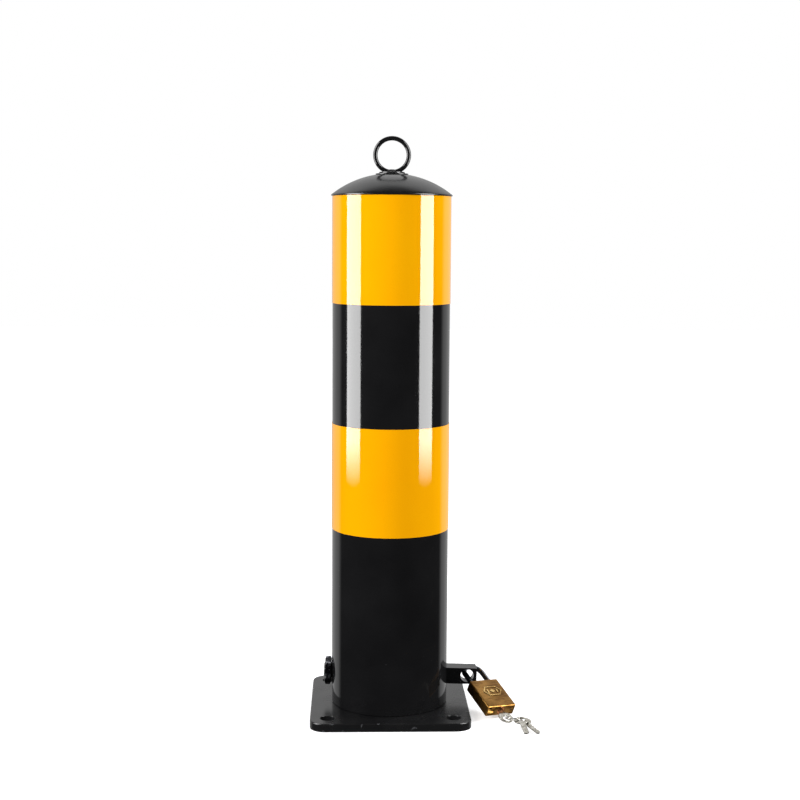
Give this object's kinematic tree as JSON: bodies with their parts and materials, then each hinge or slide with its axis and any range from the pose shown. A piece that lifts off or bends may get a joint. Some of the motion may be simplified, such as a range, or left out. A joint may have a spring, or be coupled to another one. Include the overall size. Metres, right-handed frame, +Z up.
{
  "type": "folding parking lock",
  "caption": "Fold-down steel bollard on a square foot plate, banded black and yellow, held upright by a square bar and a brass padlock with keys.",
  "frame": {"origin": "centre of the foot plate's underside", "axes": "+Z up along the post, -Y towards the front, +Y the side the post folds to, +X to the padlock"},
  "size_m": [0.2174, 0.1755, 0.5612],
  "materials": {
    "black_paint": "gloss black stove enamel over steel",
    "zinc_steel": "bright zinc plate",
    "blackened_nut": "black oxide, worn bright on the corners",
    "bronze_bush": "turned bronze",
    "yellow_film": "gloss yellow reflective film",
    "chromed_shackle": "chromed steel",
    "padlock_brass": "brushed brass, rubbed edges",
    "cylinder_copper": "turned copper alloy",
    "spring_steel": "drawn wire",
    "nickel_keys": "nickel plate"
  },
  "bodies": {
    "base": {"base_plate": "black_paint", "hinge_ear_left": "black_paint", "hinge_ear_right": "black_paint", "hinge_pin": "zinc_steel", "hinge_pin_washer": "zinc_steel", "hinge_split_pin": "zinc_steel", "lock_bracket": "black_paint"},
    "post": {"post_tube": "black_paint", "hinge_knuckle": "black_paint", "hinge_bush": "bronze_bush", "end_cap": "black_paint", "ring_seat": "black_paint", "lifting_ring": "black_paint", "reflective_band_upper": "yellow_film", "reflective_band_lower": "yellow_film"},
    "lock_bar": {"lock_bar": "black_paint", "lock_bar_nut": "blackened_nut"},
    "shackle": {"shackle": "chromed_shackle"},
    "padlock": {"padlock_body": "padlock_brass", "pin_plugs": "padlock_brass", "pin_springs": "spring_steel", "driver_pins": "padlock_brass", "latch_spring": "spring_steel", "cylinder_retainer": "spring_steel"},
    "latch": {"latch_bolt": "spring_steel"},
    "cylinder": {"cylinder_plug": "cylinder_copper", "key_pins": "padlock_brass"},
    "key": {"key": "nickel_keys"},
    "key_ring": {"key_ring": "nickel_keys"},
    "spare_key_1": {"spare_key_1": "nickel_keys"},
    "spare_key_2": {"spare_key_2": "nickel_keys"}
  },
  "joints": [
    {"name": "post_fold", "type": "hinge", "parent": "base", "child": "post", "pos_m": [0, 0.071, 0.022], "axis": [-1, 0, 0], "range_deg": [0, 93]},
    {"name": "lock_bar_slide", "type": "slide", "parent": "base", "child": "lock_bar", "axis": [-0.9995, 0, 0.0332], "range_m": [0, 0.006]},
    {"name": "padlock_swing", "type": "hinge", "parent": "lock_bar", "child": "shackle", "pos_m": [0.07736, 0.004, 0.03113], "axis": [0, -1, 0], "range_deg": [0, 26]},
    {"name": "shackle_release", "type": "slide", "parent": "shackle", "child": "padlock", "axis": [0.4006, -0.8249, -0.3987], "range_m": [0, 0.0075]},
    {"name": "key_turn", "type": "hinge", "parent": "padlock", "child": "cylinder", "pos_m": [0.10732, -0.041, 0.00825], "axis": [-0.4006, 0.8249, 0.3987], "range_deg": [0, 90]},
    {"name": "latch_slide", "type": "slide", "parent": "padlock", "child": "latch", "axis": [-0.8827, -0.4642, 0.0735], "range_m": [0, 0.0015]},
    {"name": "key_withdraw", "type": "slide", "parent": "cylinder", "child": "key", "axis": [0.4006, -0.8249, -0.3987], "range_m": [0, 0.02]},
    {"name": "key_ring_swing", "type": "hinge", "parent": "key", "child": "key_ring", "pos_m": [0.11861, -0.05585, 0.00471], "axis": [-0.148, -0.3963, -0.9061], "range_deg": [-4, 12]},
    {"name": "spare_key_1_swing", "type": "hinge", "parent": "key_ring", "child": "spare_key_1", "pos_m": [0.11861, -0.05585, 0.00471], "axis": [-0.148, -0.3963, -0.9061], "range_deg": [-4, 0]},
    {"name": "spare_key_2_swing", "type": "hinge", "parent": "key_ring", "child": "spare_key_2", "pos_m": [0.11861, -0.05585, 0.00471], "axis": [-0.148, -0.3963, -0.9061], "range_deg": [0, 10]}
  ],
  "couplings": [
    {"joint": "latch_slide", "follows": "key_turn", "m_per_rad": 0.0008}
  ]
}
